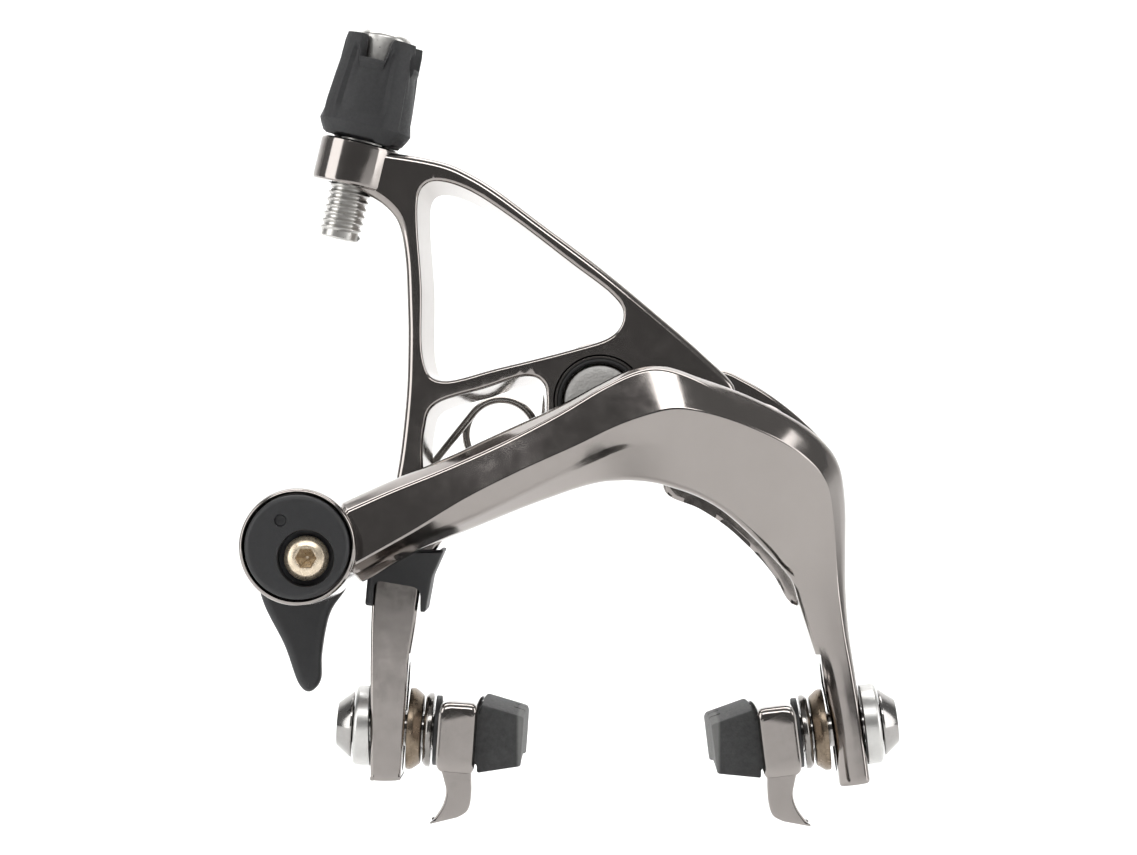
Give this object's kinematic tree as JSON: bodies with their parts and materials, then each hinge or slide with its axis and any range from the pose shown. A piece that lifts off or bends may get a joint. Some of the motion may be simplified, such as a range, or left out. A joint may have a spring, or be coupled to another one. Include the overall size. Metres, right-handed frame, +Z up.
{
  "type": "rim brake caliper",
  "caption": "Dual-pivot rim brake caliper for a road bicycle: two polished arms, curved pads on slotted legs, barrel adjuster and quick-release lever.",
  "frame": {"origin": "on the centre bolt's axis, at the rear face of the seat washer, where it meets the fork crown", "axes": "+Y back along the centre bolt into the fork, +Z up away from the wheel, +X to the right as seen from in front of the bicycle"},
  "size_m": [0.0912, 0.07, 0.1091],
  "materials": {
    "polished_nickel_arm": "polished dark nickel-grey, mirror-like",
    "polished_holder": "polished dark nickel-grey",
    "satin_silver": "satin silver anodised",
    "dark_chrome_bolt": "bright plated steel",
    "hidden_steel": "plain ground steel",
    "champagne_bolt": "champagne-gold plated steel",
    "bronze_washer": "dull brown bronze",
    "spring_steel": "dark drawn wire",
    "black_plastic": "fine-textured black nylon",
    "black_knob": "soft-touch black",
    "pad_rubber": "matt black brake compound",
    "seal_rubber": "matt black"
  },
  "bodies": {
    "frame": {"centre_bolt": "dark_chrome_bolt", "seat_washer": "satin_silver", "pivot_bracket": "polished_nickel_arm", "centre_thrust_washer": "hidden_steel", "side_thrust_washer": "hidden_steel", "side_pivot_bush": "bronze_washer", "return_spring": "spring_steel"},
    "y_arm": {"y_arm": "polished_nickel_arm", "centre_bush": "bronze_washer", "centre_seal_ring": "seal_rubber", "spring_cuff": "black_plastic"},
    "c_arm": {"c_arm": "polished_nickel_arm", "side_pivot_pin": "dark_chrome_bolt", "side_pivot_circlip": "spring_steel", "centring_screw": "dark_chrome_bolt", "quick_release_friction_ring": "hidden_steel"},
    "quick_release": {"quick_release_cam": "black_plastic", "quick_release_lever": "black_plastic", "cable_anchor_bolt": "champagne_bolt", "cable_clamp_washer": "satin_silver", "cable_anchor_nut": "satin_silver"},
    "barrel_knob": {"barrel_knob": "black_knob", "barrel_spring": "spring_steel"},
    "barrel_stem": {"barrel_stem": "satin_silver"},
    "left_pad_clamp": {"left_pad_bolt": "dark_chrome_bolt", "left_pad_outer_washer": "satin_silver", "left_pad_convex_washer": "bronze_washer"},
    "left_shoe": {"left_pad_concave_washer": "polished_holder", "left_pad_spacer_washer": "black_plastic", "left_pad_holder": "polished_holder", "left_brake_pad": "pad_rubber", "left_pad_screw": "hidden_steel"},
    "right_pad_clamp": {"right_pad_bolt": "dark_chrome_bolt", "right_pad_outer_washer": "satin_silver", "right_pad_convex_washer": "bronze_washer"},
    "right_shoe": {"right_pad_concave_washer": "polished_holder", "right_pad_spacer_washer": "black_plastic", "right_pad_holder": "polished_holder", "right_brake_pad": "pad_rubber", "right_pad_screw": "hidden_steel"}
  },
  "joints": [
    {"name": "y_arm_pivot", "type": "hinge", "parent": "frame", "child": "y_arm", "pos_m": [0, 0, 0], "axis": [0, -1, 0], "range_deg": [0, 8], "stiffness_Nm_per_rad": 1.2, "springref_deg": -20.05, "deforming": ["return_spring"]},
    {"name": "c_arm_pivot", "type": "hinge", "parent": "frame", "child": "c_arm", "pos_m": [0.021, 0, -0.0065], "axis": [0, 1, 0], "range_deg": [0, 9]},
    {"name": "quick_release_turn", "type": "hinge", "parent": "c_arm", "child": "quick_release", "pos_m": [-0.0409, 0, -0.0198], "axis": [0, 1, 0], "range_deg": [0, 150]},
    {"name": "barrel_knob_turn", "type": "hinge", "parent": "y_arm", "child": "barrel_knob", "pos_m": [-0.0363, -0.018, 0.0238], "axis": [-0.2317, 0, -0.9728], "range_deg": [0, 2165]},
    {"name": "barrel_stem_slide", "type": "slide", "parent": "y_arm", "child": "barrel_stem", "axis": [0.2317, 0, 0.9728], "range_m": [0, 0.006]},
    {"name": "left_pad_height", "type": "slide", "parent": "y_arm", "child": "left_pad_clamp", "axis": [0, 0, 1], "range_m": [-0.003, 0.0042]},
    {"name": "left_shoe_swivel", "type": "hinge", "parent": "left_pad_clamp", "child": "left_shoe", "pos_m": [-0.02945, -0.017, -0.0456], "axis": [0.9976, 0, -0.0698], "range_deg": [-10, 10]},
    {"name": "right_pad_height", "type": "slide", "parent": "c_arm", "child": "right_pad_clamp", "axis": [-0.1219, 0, 0.9925], "range_m": [-0.003, 0.0046]},
    {"name": "right_shoe_swivel", "type": "hinge", "parent": "right_pad_clamp", "child": "right_shoe", "pos_m": [0.0343, -0.017, -0.0456], "axis": [0.9925, 0, 0.1219], "range_deg": [-10, 10]}
  ],
  "couplings": [
    {"joint": "c_arm_pivot", "follows": "y_arm_pivot", "ratio": 1.09},
    {"joint": "barrel_knob_turn", "follows": "barrel_stem_slide", "rad_per_m": 6283.2}
  ]
}
